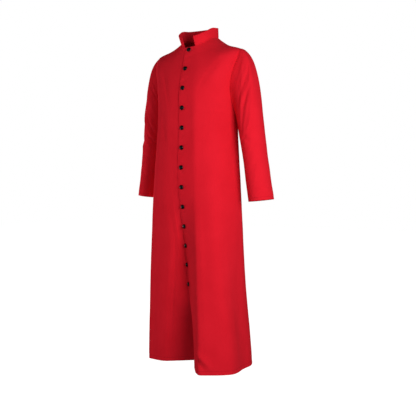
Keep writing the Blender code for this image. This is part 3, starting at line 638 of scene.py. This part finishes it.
def fine_panel(name, t_from, t_to, columns, seed):
    s = fine_levels()
    a, b = t_from(s), t_to(s)
    share = np.linspace(0, 1, columns + 1)
    if name == "front_left":                        # closer columns by the buttons
        share = share ** 1.35
    t = a[:, None] + (b - a)[:, None] * share
    s_grid = np.repeat(s[:, None], columns + 1, axis=1)
    if name == "front_left":
        low = np.clip(1 - s[:, None] / 0.09, 0, 1)
        s_grid = s_grid + low * CORNER_ROUND * (1 - np.clip(t / 0.8, 0, 1)) ** 2
    shape = s_grid.shape
    plain = plain_body(s_grid, t)
    across = run_along(plain.reshape(shape + (3,)), 1)
    up = run_along(plain.reshape(shape + (3,)), 0)
    across_plain = across
    if name == "back":
        middle = across[:, columns // 2:columns // 2 + 1]
        across = across - middle
    if name == "front_right":
        across = across[:, -1:] - across
    fs, ft, fa, fu = s_grid.ravel(), t.ravel(), across.ravel(), up.ravel()
    n = surface_normal(plain_body, fs, ft, S_TOP, T_END)
    calm = smooth((ft - 1.6) / 1.4) * smooth((20.4 - ft) / 1.4)
    calm_fine = smooth((ft - 0.9) / 0.9) * smooth((21.0 - ft) / 0.8)
    calm_top = smooth((S_TOP - fs) / 0.05)
    h = fold_height(fs, ft, BODY_FOLDS) * calm
    h = h + fold_height(fs, ft, BODY_CREASES) * calm_fine * calm_top
    uneven = soft_noise(fa, fu * 0.45, 0.085, seed) * 0.0014 + soft_noise(fa, fu * 0.6, 0.034, seed + 9.1) * 0.00045
    # a seam holds its two panels level
    to_seam = across_plain if name != "front_left" else across_plain[:, -1:] - across_plain
    if name == "back":
        to_seam = np.minimum(across_plain, across_plain[:, -1:] - across_plain)
    calm_seam = smooth(to_seam.ravel() / 0.030)
    h = h + uneven * calm_fine * calm_top * calm_seam
    # a hem that is stitched up ripples a little
    ripple = soft_noise(fa, fu * 0.3, 0.030, seed + 4.7) * 0.0011 * np.exp(-(fu / 0.030) ** 2) * calm_fine * calm_seam
    groove = -0.0004 * np.exp(-((fu - HEM_DEPTH) / 0.0022) ** 2)
    h = h + ripple + groove
    if name == "front_left":
        h = h + front_scallop(fs, ft) + button_pull(fs, fa, fu) + corner_curl(fa, fu)
    outer = (plain + n * h[:, None]).reshape(shape + (3,))
    normal = grid_normals(outer)
    thick = CLOTH + HEM_EXTRA * smooth((HEM_DEPTH + 0.001 - up) / 0.002)
    if name == "front_right":
        thick = np.where(t > 20.8, CLOTH, thick)
    inner = outer - normal * thick[:, :, None]
    uv = np.stack([across, up], axis=2)
    # at a side or shoulder seam the front's allowance lies under the back, and
    # round an armhole it is turned in, so that nothing shows through a seam
    round_arm = ((s > ARM_LOW) & (s < ARM_TOP))[:, None]
    for edge, inside in ((0, 1), (-1, -2)):
        if (name, edge) in (("front_left", 0), ("front_right", -1)):
            continue
        e, n, th = outer[:, edge], normal[:, edge], thick[:, edge][:, None]
        along = outer[:, inside] - e
        along /= np.linalg.norm(along, axis=1, keepdims=True)
        if name == "back":
            strip = [(e - n * th * 0.8, e - n * th), (e - n * th * 0.4, e - n * th + along * CLOTH / 2)]
        else:
            under = e - n * (th + 0.0004)
            strip = [(under - along * SEAM_LAP, under - along * SEAM_LAP - n * CLOTH),
                     (under, under - n * CLOTH + along * CLOTH / 2)]
        turned = [(e - n * SEAM_TURN, e - n * SEAM_TURN + along * CLOTH),
                  (e - n * SEAM_TURN / 2, e - n * SEAM_TURN / 2 + along * CLOTH)]
        strip = [tuple(np.where(round_arm, u, v) for u, v in zip(p, q)) for p, q in zip(turned, strip)]
        near = along * 0.0006
        strip.append((e, e - n * th + along * CLOTH))
        strip.append((e + near, e - n * th + near + along * CLOTH))
        step = uv[:, inside] - uv[:, edge]
        step /= np.linalg.norm(step, axis=1, keepdims=True)
        flat = [uv[:, edge] - step * 0.005, uv[:, edge] - step * 0.001, uv[:, edge], uv[:, edge] + step * 0.0006]
        cols = [np.stack(c, axis=1) for c in ([p for p, q in strip], [q for p, q in strip], flat)]
        if edge == 0:
            outer, inner, uv = (np.concatenate([c, g[:, 1:]], axis=1) for c, g in zip(cols, (outer, inner, uv)))
        else:
            outer, inner, uv = (np.concatenate([g[:, :-1], c[:, ::-1]], axis=1) for c, g in zip(cols, (outer, inner, uv)))
    return shell(name + "_cloth", outer, inner, uv)


def grid_normals(grid, ring=False):
    """Unit normals of a grid of points, facing out as the grid's rows go up and its columns go round to the left."""
    up = np.gradient(grid, axis=0)
    if ring:
        across = (np.roll(grid, -1, axis=1) - np.roll(grid, 1, axis=1)) / 2
    else:
        across = np.gradient(grid, axis=1)
    n = np.cross(across, up)
    return n / np.linalg.norm(n, axis=2, keepdims=True)


def fine_sleeve(side, seed):
    half = SLEEVE_FINE_DOWN // 2
    u = np.concatenate([[0.0], np.linspace(0.004, 0.5, half), np.linspace(0.5, 0.992, half + 1)[1:],
                        [0.9955, 0.9985, 1.0]])
    angle = np.linspace(0, 2 * math.pi, SLEEVE_FINE_AROUND, endpoint=False)
    ug, ag = np.meshgrid(u, angle, indexing="ij")
    shape = ug.shape
    fu, fa = ug.ravel(), ag.ravel()
    base = sleeve(fu, fa, side).reshape(shape + (3,))
    down = run_along(base, 0)
    up = down[-1:, :] - down                       # distance from the cuff's edge
    around = run_along(base, 1)
    middle = around[:, shape[1] // 2:shape[1] // 2 + 1]
    around = around - middle
    n = sleeve_normal(fu, fa, side)
    h = crease_height(fu, fa, SLEEVE_CREASES[side]) * (1.5 if side == "left" else 1.9)
    ring_x, ring_y = np.cos(fa) * 0.05, np.sin(fa) * 0.05
    uneven = np.array([noise.noise(Vector((x / 0.05, y / 0.05, z / 0.075 + seed)))
                       for x, y, z in zip(ring_x, ring_y, up.ravel())]) * 0.0013
    calm = smooth((fu - 0.015) / 0.05) * smooth((0.995 - fu) / 0.03)
    cuff = -0.0004 * np.exp(-((up.ravel() - CUFF_DEPTH) / 0.0022) ** 2)
    # the seam at the armhole: the sleeve head rolls over it
    head = 0.0008 * np.exp(-((fu - 0.026) / 0.018) ** 2) * smooth((fu - 0.002) / 0.016)
    outer = base + n.reshape(shape + (3,)) * ((h + uneven) * calm + cuff + head).reshape(shape)[:, :, None]
    normal = grid_normals(outer, ring=True)
    normal = -normal if side == "left" else normal
    thick = CLOTH + 0.0007 * smooth((CUFF_DEPTH + 0.001 - up) / 0.002)
    inner = outer - normal * thick[:, :, None]
    uv = np.stack([around, up], axis=2)
    # the sleeve head's allowance runs on, into the armhole
    first = outer[1] - outer[0]
    first /= np.linalg.norm(first, axis=1, keepdims=True)
    tip = outer[0] - first * SEAM_TURN
    outer = np.concatenate([tip[None], outer])
    inner = np.concatenate([(tip - normal[0] * CLOTH)[None], inner])
    uv = np.concatenate([(2 * uv[0] - uv[1])[None], uv])
    return shell("sleeve_%s_cloth" % side, outer, inner, uv, ring=True, flip=(side == "left"))


def crease_height(u, angle, folds):
    h = np.zeros(len(u))
    for u0, u1, a0, a1, half, height in folds:
        mid = math.radians((a0 + a1) / 2)
        reach = abs(math.radians(a1 - a0)) / 2 + 0.30
        d = (angle - mid + math.pi) % (2 * math.pi) - math.pi
        k = np.clip((d / math.radians(a1 - a0)) + 0.5, -0.3, 1.3)
        line = u0 + (u1 - u0) * k
        h += height * np.exp(-((u - line) / half) ** 2 * 1.5) * np.cos(np.clip(d / reach, -1, 1) * math.pi / 2) ** 2
    return h


def fine_collar():
    t0 = neck_t(NOTCH_CENTRE_X + NOTCH_WIDTH / 2)[0]
    t1 = neck_t(NOTCH_CENTRE_X - NOTCH_WIDTH / 2)[1]
    t = np.linspace(t0, t1, COLLAR_FINE + 1)
    outer, inner, uv = [], [], []
    run = None
    for i in range(COLLAR_FINE_UP + 1):
        h = i / COLLAR_FINE_UP
        p = collar_surface(h, t)
        ahead = collar_surface(h, np.clip(t + 0.02, 0, T_END)) - collar_surface(h, np.clip(t - 0.02, 0, T_END))
        way = plan_unit(ahead)
        inward = np.stack([-way[:, 1], way[:, 0], 0 * t], axis=1)
        if run is None:
            run = np.concatenate([[0], np.cumsum(np.linalg.norm(np.diff(p, axis=0), axis=1))])
        # the edges are pressed thinner, and the band is a little uneven
        edge = min(h, 1 - h)
        press = 0.0004 * math.exp(-(edge / 0.05) ** 2)
        groove = 0.0003 * np.exp(-((h - 0.10) / 0.035) ** 2) + 0.0003 * np.exp(-((h - 0.88) / 0.035) ** 2)
        wave = soft_noise(run, 0 * run + h * 0.05, 0.045, 3.3) * 0.0009 * smooth(np.array([h * 2.0]))[0]
        if i == 0:
            # the inner layer is turned down over the neckline's seam, inside
            for drop in (0.007, 0.0):
                low = plain_body(0 * t + S_TOP - drop, t)
                normal = surface_normal(plain_body, 0 * t + S_TOP - drop, t, S_TOP, T_END)
                outer.append(low - normal * (CLOTH + 0.0005))
                inner.append(low - normal * (CLOTH + 0.0016))
                uv.append(np.stack([run, 0 * run - drop - 0.002], axis=1))
        outer.append(p + inward * (press + groove) - inward * wave[:, None])
        inner.append(p + inward * (COLLAR_WALL - press) - inward * wave[:, None])
        uv.append(np.stack([run, 0 * run + h * 0.040], axis=1))
    return shell("collar_cloth", np.array(outer), np.array(inner), np.array(uv))


def fine_button(i):
    centre, n = button_place(BUTTON_TOP_Z - BUTTON_PITCH * i)
    side = np.cross([0, 0, 1.0], n)
    side /= np.linalg.norm(side)
    up = np.cross(n, side)
    around = 40
    profile = [(0.80, 0.0), (0.92, 0.04), (0.975, 0.12), (1.0, 0.24), (0.99, 0.34), (0.955, 0.43), (0.90, 0.52),
               (0.84, 0.62), (0.72, 0.76), (0.56, 0.88), (0.38, 0.955), (0.18, 0.99)]
    verts = [centre + n * BUTTON_OFF]
    for r, h in profile:
        for j in range(around):
            a = 2 * math.pi * j / around
            verts.append(centre + n * (BUTTON_OFF + h * BUTTON_H) + (side * math.cos(a) + up * math.sin(a)) * r * BUTTON_R)
    verts.append(centre + n * (BUTTON_OFF + BUTTON_H))
    faces = []
    for j in range(around):
        k = (j + 1) % around
        faces.append((0, 1 + k, 1 + j))
        for r in range(len(profile) - 1):
            a, b = 1 + r * around + j, 1 + r * around + k
            faces.append((a, b, b + around, a + around))
        last = 1 + (len(profile) - 1) * around
        faces.append((last + j, last + k, len(verts) - 1))
    mesh = bpy.data.meshes.new("button_%02d_domed" % (i + 1))
    mesh.from_pydata([tuple(v) for v in verts], [], faces)
    mesh.update()
    mesh.polygons.foreach_set("use_smooth", np.ones(len(mesh.polygons), bool))
    obj = bpy.data.objects.new(mesh.name, mesh)
    bpy.context.scene.collection.objects.link(obj)
    return obj


# ---------------------------------------------------------------- materials
class Nodes:
    """Short names for building a node material."""

    def __init__(self, name):
        self.material = bpy.data.materials.new(name)
        self.material.use_nodes = True
        self.tree = self.material.node_tree
        self.bsdf = self.tree.nodes["Principled BSDF"]

    def add(self, kind, **settings):
        node = self.tree.nodes.new(kind)
        for key, value in settings.items():
            setattr(node, key, value)
        return node

    def link(self, a, b):
        self.tree.links.new(a, b)

    def math(self, operation, a, b=None, c=None, clamp=False):
        node = self.add("ShaderNodeMath", operation=operation, use_clamp=clamp)
        for i, v in enumerate((a, b, c)):
            if v is None:
                continue
            if isinstance(v, (int, float)):
                node.inputs[i].default_value = v
            else:
                self.link(v, node.inputs[i])
        return node.outputs[0]

    def noise(self, vector, scale, detail=2.0, rough=0.5):
        node = self.add("ShaderNodeTexNoise")
        node.inputs["Scale"].default_value = scale
        node.inputs["Detail"].default_value = detail
        node.inputs["Roughness"].default_value = rough
        self.link(vector, node.inputs["Vector"])
        return node.outputs[0]

    def mix(self, factor, a, b):
        node = self.add("ShaderNodeMix", data_type="RGBA")
        if isinstance(factor, (int, float)):
            node.inputs[0].default_value = factor
        else:
            self.link(factor, node.inputs[0])
        for socket, v in ((node.inputs[6], a), (node.inputs[7], b)):
            if isinstance(v, tuple):
                socket.default_value = v
            else:
                self.link(v, socket)
        return node.outputs[2]

    def line(self, value, at, width):
        """1 on the line value = at, falling to 0 at width either side."""
        d = self.math("ABSOLUTE", self.math("SUBTRACT", value, at))
        return self.math("SUBTRACT", 1.0, self.math("DIVIDE", d, width), clamp=True)


CLOTH_COLOUR = (0.740, 0.0140, 0.0280, 1.0)
CLOTH_DEEP = (0.520, 0.0050, 0.0120, 1.0)


def cloth_material(name, lines_up=(), lines_across=()):
    """Smooth twill with a satin face. lines_up and lines_across are stitched lines, in metres on the UV map."""
    m = Nodes(name)
    uv = m.add("ShaderNodeUVMap", uv_map="metres").outputs[0]
    split = m.add("ShaderNodeSeparateXYZ")
    m.link(uv, split.inputs[0])
    across, up = split.outputs[0], split.outputs[1]
    broad = m.noise(uv, 9.0, 3.0, 0.55)
    fine = m.noise(uv, 60.0, 3.0, 0.6)
    slub = m.add("ShaderNodeMapping")
    slub.inputs["Scale"].default_value = (900.0, 60.0, 1.0)
    m.link(uv, slub.inputs[0])
    thread = m.noise(slub.outputs[0], 1.0, 2.0, 0.5)
    # twill: fine diagonal ribs
    diagonal = m.math("ADD", m.math("MULTIPLY", across, 5200.0), m.math("MULTIPLY", up, 3900.0))
    rib = m.math("SINE", diagonal)
    # stitched lines with separate stitches
    stitch = None
    for coordinate, other, places in ((up, across, lines_up), (across, up, lines_across)):
        for at in places:
            mask = m.line(coordinate, at, 0.0011)
            beat = m.math("SINE", m.math("MULTIPLY", other, 2 * math.pi / 0.0032))
            dash = m.math("MULTIPLY_ADD", beat, 0.30, 0.70)
            mask = m.math("MULTIPLY", mask, dash)
            stitch = mask if stitch is None else m.math("MAXIMUM", stitch, mask)
    tone = m.math("MULTIPLY_ADD", m.math("SUBTRACT", broad, 0.5), 0.55, 0.22, clamp=True)
    colour = m.mix(tone, CLOTH_COLOUR, CLOTH_DEEP)
    colour = m.mix(m.math("MULTIPLY", thread, 0.10), colour, CLOTH_DEEP)
    if stitch is not None:
        colour = m.mix(m.math("MULTIPLY", stitch, 0.55), colour, (0.22, 0.004, 0.008, 1.0))
    m.link(colour, m.bsdf.inputs["Base Color"])
    rough = m.math("MULTIPLY_ADD", m.math("SUBTRACT", fine, 0.5), 0.16, 0.46)
    m.link(rough, m.bsdf.inputs["Roughness"])
    m.bsdf.inputs["Specular IOR Level"].default_value = 0.0
    m.bsdf.inputs["Specular Tint"].default_value = (1.0, 0.40, 0.46, 1.0)
    m.bsdf.inputs["Sheen Weight"].default_value = 0.12
    m.bsdf.inputs["Sheen Roughness"].default_value = 0.50
    m.bsdf.inputs["Sheen Tint"].default_value = (1.0, 0.12, 0.16, 1.0)
    height = m.math("MULTIPLY", broad, 0.0016)
    height = m.math("MULTIPLY_ADD", fine, 0.00018, height)
    height = m.math("MULTIPLY_ADD", thread, 0.00003, height)
    height = m.math("MULTIPLY_ADD", rib, 0.00002, height)
    if stitch is not None:
        height = m.math("MULTIPLY_ADD", stitch, -0.00035, height)
    bump = m.add("ShaderNodeBump")
    bump.inputs["Strength"].default_value = 1.0
    bump.inputs["Distance"].default_value = 1.0
    m.link(height, bump.inputs["Height"])
    m.link(bump.outputs[0], m.bsdf.inputs["Normal"])
    return m.material


def button_material():
    m = Nodes("button_black")
    where = m.add("ShaderNodeTexCoord").outputs["Object"]
    haze = m.noise(where, 400.0, 2.0)
    m.bsdf.inputs["Base Color"].default_value = (0.0022, 0.0022, 0.0024, 1.0)
    m.link(m.math("MULTIPLY_ADD", haze, 0.06, 0.08), m.bsdf.inputs["Roughness"])
    m.bsdf.inputs["Specular IOR Level"].default_value = 0.13
    return m.material


def plain_material(name, colour, roughness):
    m = Nodes(name)
    m.bsdf.inputs["Base Color"].default_value = colour
    m.bsdf.inputs["Roughness"].default_value = roughness
    m.bsdf.inputs["Specular IOR Level"].default_value = 0.2
    return m.material


# ---------------------------------------------------------------- the pieces
def left_front_edge(s):
    return T_SIDE_L - armhole_t(s)[0] - t_gap(s, T_SIDE_L - armhole_t(s)[0])


def left_back_edge(s):
    return T_SIDE_L + armhole_t(s)[1] + t_gap(s, T_SIDE_L + armhole_t(s)[1])


def right_back_edge(s):
    return T_SIDE_R - armhole_t(s)[1] - t_gap(s, T_SIDE_R - armhole_t(s)[1])


def right_front_edge(s):
    return T_SIDE_R + armhole_t(s)[0] + t_gap(s, T_SIDE_R + armhole_t(s)[0])


front_cloth = cloth_material("cloth_front", lines_up=(HEM_DEPTH,), lines_across=(0.0055,))
back_cloth = cloth_material("cloth_back", lines_up=(HEM_DEPTH,))
sleeve_cloth = cloth_material("cloth_sleeve", lines_up=(CUFF_DEPTH,))
collar_cloth = cloth_material("cloth_collar", lines_up=(0.0035, 0.0362))

pieces = {
    "front_left": fine_panel("front_left", lambda s: 0 * s, left_front_edge, FRONT_FINE, 1.7),
    "front_right": fine_panel("front_right", right_front_edge, lambda s: 0 * s + T_END, FRONT_FINE, 5.2),
    "back": fine_panel("back", left_back_edge, right_back_edge, BACK_FINE, 8.6),
    "sleeve_left": fine_sleeve("left", 2.2),
    "sleeve_right": fine_sleeve("right", 6.9),
    "collar": fine_collar(),
}
finish = {"front_left": front_cloth, "front_right": front_cloth, "back": back_cloth,
          "sleeve_left": sleeve_cloth, "sleeve_right": sleeve_cloth, "collar": collar_cloth}
for node, piece in pieces.items():
    piece.data.materials.append(finish[node])
    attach(piece, "root")
    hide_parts(node)

black = button_material()
for i in range(BUTTON_COUNT):
    button = fine_button(i)
    button.data.materials.append(black)
    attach(button, "root")
    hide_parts("button_%02d" % (i + 1))

# ---------------------------------------------------------------- floor, light and camera
FLOOR_Z = -1.450
floor_mesh = bpy.data.meshes.new("floor")
floor_mesh.from_pydata([(-9, -9, FLOOR_Z), (9, -9, FLOOR_Z), (9, 9, FLOOR_Z), (-9, 9, FLOOR_Z)], [], [(0, 1, 2, 3)])
floor_mesh.update()
floor = bpy.data.objects.new("floor", floor_mesh)
bpy.context.scene.collection.objects.link(floor)
floor_finish = plain_material("floor_pale", (0.16, 0.16, 0.16, 1.0), 0.9)
floor_finish.node_tree.nodes["Principled BSDF"].inputs["Emission Color"].default_value = (1.0, 1.0, 1.0, 1.0)
# it reads as white from the camera, and sends little light up into the skirt
floor_tree = floor_finish.node_tree
floor_seen = floor_tree.nodes.new("ShaderNodeLightPath")
floor_glow = floor_tree.nodes.new("ShaderNodeMath")
floor_glow.operation = "MULTIPLY_ADD"
floor_glow.inputs[1].default_value = 0.88
floor_glow.inputs[2].default_value = 0.10
floor_tree.links.new(floor_seen.outputs["Is Camera Ray"], floor_glow.inputs[0])
floor_tree.links.new(floor_glow.outputs[0], floor_tree.nodes["Principled BSDF"].inputs["Emission Strength"])
floor_mesh.materials.append(floor_finish)

world = bpy.data.worlds.new("studio")
bpy.context.scene.world = world
world.use_nodes = True
# a white backdrop; the light it gives is soft, from the front, and dim overhead and behind
background = world.node_tree.nodes["Background"]
background.inputs[0].default_value = (1.0, 1.0, 1.0, 1.0)
LIGHT_AZIMUTH = math.radians(-4)
direction = world.node_tree.nodes.new("ShaderNodeTexCoord")
parts = world.node_tree.nodes.new("ShaderNodeSeparateXYZ")
facing = world.node_tree.nodes.new("ShaderNodeVectorMath")
facing.operation = "DOT_PRODUCT"
facing.inputs[1].default_value = (math.sin(LIGHT_AZIMUTH), -math.cos(LIGHT_AZIMUTH), 0.0)
ahead_light = world.node_tree.nodes.new("ShaderNodeMapRange")
for socket, value in (("From Min", -0.80), ("From Max", 0.60), ("To Min", 0.58), ("To Max", 1.36)):
    ahead_light.inputs[socket].default_value = value
dim = world.node_tree.nodes.new("ShaderNodeMapRange")
for socket, value in (("From Min", -0.16), ("From Max", 0.52), ("To Min", 1.0), ("To Max", 0.10)):
    dim.inputs[socket].default_value = value
both = world.node_tree.nodes.new("ShaderNodeMath")
both.operation = "MULTIPLY"
seen = world.node_tree.nodes.new("ShaderNodeLightPath")
backdrop = world.node_tree.nodes.new("ShaderNodeMath")
backdrop.operation = "MAXIMUM"
world.node_tree.links.new(direction.outputs["Generated"], parts.inputs[0])
world.node_tree.links.new(direction.outputs["Generated"], facing.inputs[0])
world.node_tree.links.new(facing.outputs["Value"], ahead_light.inputs["Value"])
world.node_tree.links.new(parts.outputs[2], dim.inputs["Value"])
world.node_tree.links.new(ahead_light.outputs[0], both.inputs[0])
world.node_tree.links.new(dim.outputs[0], both.inputs[1])
world.node_tree.links.new(both.outputs[0], backdrop.inputs[0])
world.node_tree.links.new(seen.outputs["Is Camera Ray"], backdrop.inputs[1])
world.node_tree.links.new(backdrop.outputs[0], background.inputs[1])


def soft_light(name, azimuth, elevation, distance, size, power, target=(0.0, 0.0, -0.62)):
    """azimuth as the camera's: 0 is in front of the wearer, 90 at the wearer's left."""
    a, e = math.radians(azimuth), math.radians(elevation)
    target = Vector(target)
    place = target + Vector((math.sin(a) * math.cos(e), -math.cos(a) * math.cos(e), math.sin(e))) * distance
    data = bpy.data.lights.new(name, "AREA")
    data.shape = "RECTANGLE"
    data.size, data.size_y = size
    data.energy = power
    light = bpy.data.objects.new(name, data)
    light.location = place
    light.rotation_euler = (target - place).to_track_quat("-Z", "Y").to_euler()
    bpy.context.scene.collection.objects.link(light)
    return light


soft_light("key", 58, -8, 1.8, (0.8, 0.7), 23.5, target=(0.0, 0.0, -0.16))
soft_light("fill", -72, -24, 1.5, (0.4, 0.5), 5.5, target=(-0.15, 0.0, -0.32))
soft_light("back", 244, 8, 2.2, (0.6, 0.9), 34)

bpy.context.scene.view_settings.view_transform = "Standard"

CAMERA_AZIMUTH = 33.0
CAMERA_DISTANCE = 2.90
CAMERA_Z = -0.578
CAMERA_ASIDE = 0.0332
FOCAL_PIXELS = 699.0
PICTURE = 416.0
HORIZON = 180.0
az = math.radians(CAMERA_AZIMUTH)
right = Vector((math.cos(az), math.sin(az), 0))
ahead = Vector((-math.sin(az), math.cos(az), 0))
tilt = math.atan2(PICTURE / 2 - HORIZON, FOCAL_PIXELS)
look = ahead * math.cos(tilt) - Vector((0, 0, 1)) * math.sin(tilt)
data = bpy.data.cameras.new("camera")
data.sensor_width = 36.0
data.sensor_fit = "HORIZONTAL"
data.lens = 36.0 * FOCAL_PIXELS / PICTURE
camera = bpy.data.objects.new("camera", data)
camera.location = -ahead * CAMERA_DISTANCE + right * CAMERA_ASIDE + Vector((0, 0, CAMERA_Z))
camera.rotation_euler = look.to_track_quat("-Z", "Y").to_euler()
bpy.context.scene.collection.objects.link(camera)
bpy.context.scene.camera = camera
